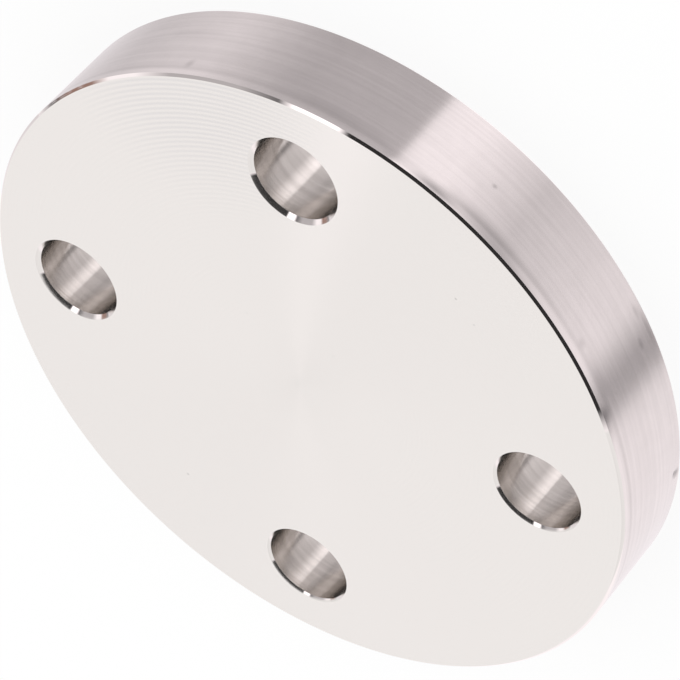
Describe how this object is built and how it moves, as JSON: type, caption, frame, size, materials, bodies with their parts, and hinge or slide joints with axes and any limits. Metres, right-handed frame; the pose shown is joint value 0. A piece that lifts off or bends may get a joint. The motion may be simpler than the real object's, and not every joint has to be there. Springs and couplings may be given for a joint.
{
  "type": "blind flange",
  "caption": "Flat round plate that closes the end of a flanged pipe, with a ring of through holes near its rim for the bolts.",
  "frame": {"origin": "centre of the back face, which is the face that the flange lies on", "axes": "+Z along the flange's own axis, from the back face to the front face; the bolt holes lie at 45 degrees between X and Y"},
  "size_m": [0.115, 0.115, 0.017],
  "materials": {
    "stainless_steel": "turned on all faces, with fine concentric tool marks"
  },
  "bodies": {
    "root": {"blind_flange": "stainless_steel"}
  },
  "joints": []
}
